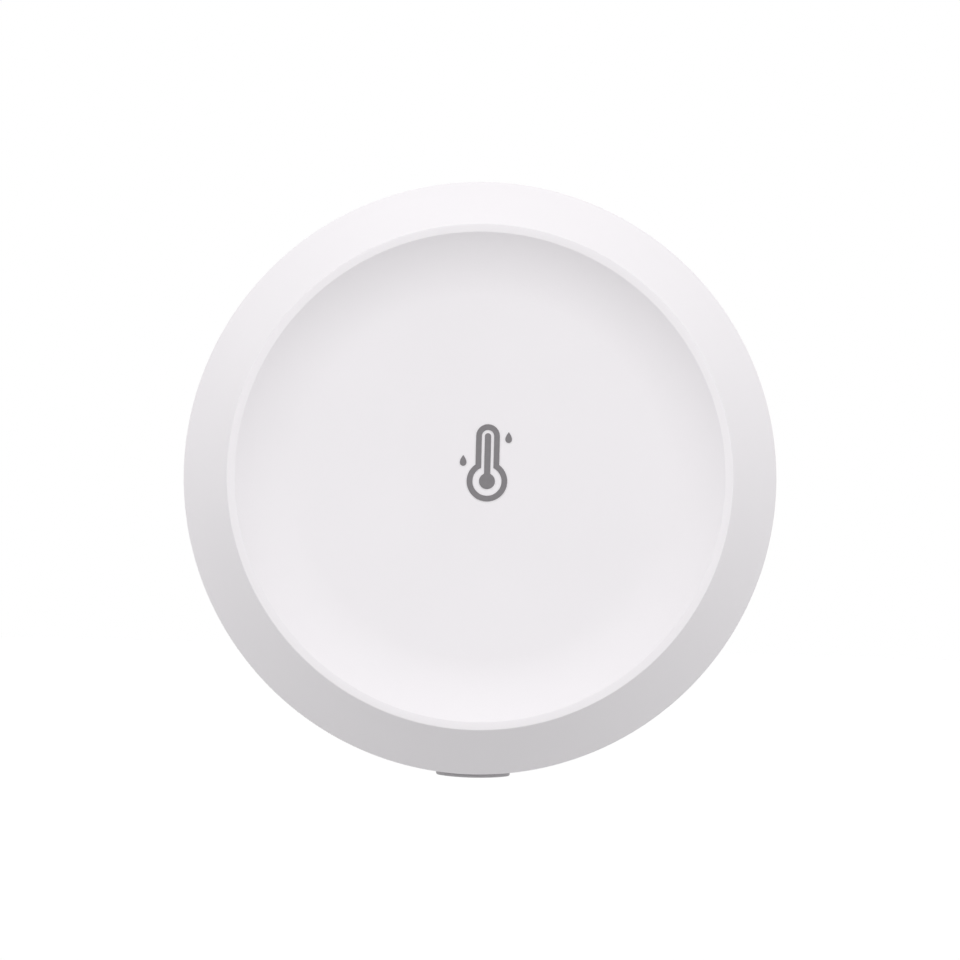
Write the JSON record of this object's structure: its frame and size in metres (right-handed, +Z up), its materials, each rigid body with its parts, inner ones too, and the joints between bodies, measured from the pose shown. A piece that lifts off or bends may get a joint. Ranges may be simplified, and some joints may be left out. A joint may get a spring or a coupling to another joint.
{
  "type": "temperature humidity sensor",
  "caption": "Round white stick-on temperature and humidity sensor with a dished face, a bevelled rim, side vents, a push button in the side and a coin-slot battery door in the back.",
  "frame": {"origin": "centre of the adhesive pad's outer face, on the disc's axis, where the sensor meets the wall", "axes": "+Y along the disc's axis into the wall, +Z up the wall, +X to the right seen from the front; the face looks along -Y"},
  "size_m": [0.036, 0.0115, 0.0362],
  "materials": {
    "shell_plastic": "fine moulded texture",
    "cover_plastic": "fine moulded texture",
    "button_plastic": "satin",
    "printed_ink": "pad printed",
    "foam_tape": "closed-cell foam",
    "board_laminate": "solder mask",
    "screw_steel": "zinc plated",
    "cell_steel": "nickel plated",
    "cell_electrodes": "pressed powder",
    "gasket_plastic": "moulded",
    "strap_steel": "nickel plated",
    "spring_bronze": "gold plated",
    "chip_epoxy": "moulded",
    "crystal_can": "plated lid",
    "antenna_ceramic": "fired",
    "capacitor_ceramic": "fired",
    "led_resin": "clear",
    "switch_plastic": "moulded",
    "switch_steel": "stamped"
  },
  "bodies": {
    "housing": {"front_shell": "shell_plastic", "icon_print": "printed_ink", "back_cover": "cover_plastic", "cover_screws": "screw_steel", "adhesive_pad": "foam_tape", "circuit_board": "board_laminate", "positive_contact": "strap_steel", "negative_contact": "spring_bronze", "cell_can": "cell_steel", "cell_core": "cell_electrodes", "cell_gasket": "gasket_plastic", "cell_cap": "cell_steel", "radio_chip": "chip_epoxy", "main_crystal": "crystal_can", "clock_crystal": "crystal_can", "chip_antenna": "antenna_ceramic", "humidity_chip": "chip_epoxy", "status_led": "led_resin", "bulk_capacitor": "capacitor_ceramic", "power_inductor": "chip_epoxy", "chip_capacitors": "capacitor_ceramic", "chip_resistors": "chip_epoxy", "switch_body": "switch_plastic", "switch_cover": "switch_steel", "switch_dome": "switch_steel"},
    "button": {"side_button": "button_plastic", "switch_plunger": "button_plastic"},
    "door": {"battery_door": "cover_plastic"}
  },
  "joints": [
    {"name": "button_press", "type": "slide", "parent": "housing", "child": "button", "axis": [0, 0, 1], "range_m": [0, 0.0003], "stiffness_N_per_m": 2500, "springref_m": -0.0001, "deforming": ["switch_dome"]},
    {"name": "door_twist", "type": "hinge", "parent": "housing", "child": "door", "pos_m": [0, 0, 0], "axis": [0, 1, 0], "range_deg": [0, 25]}
  ]
}
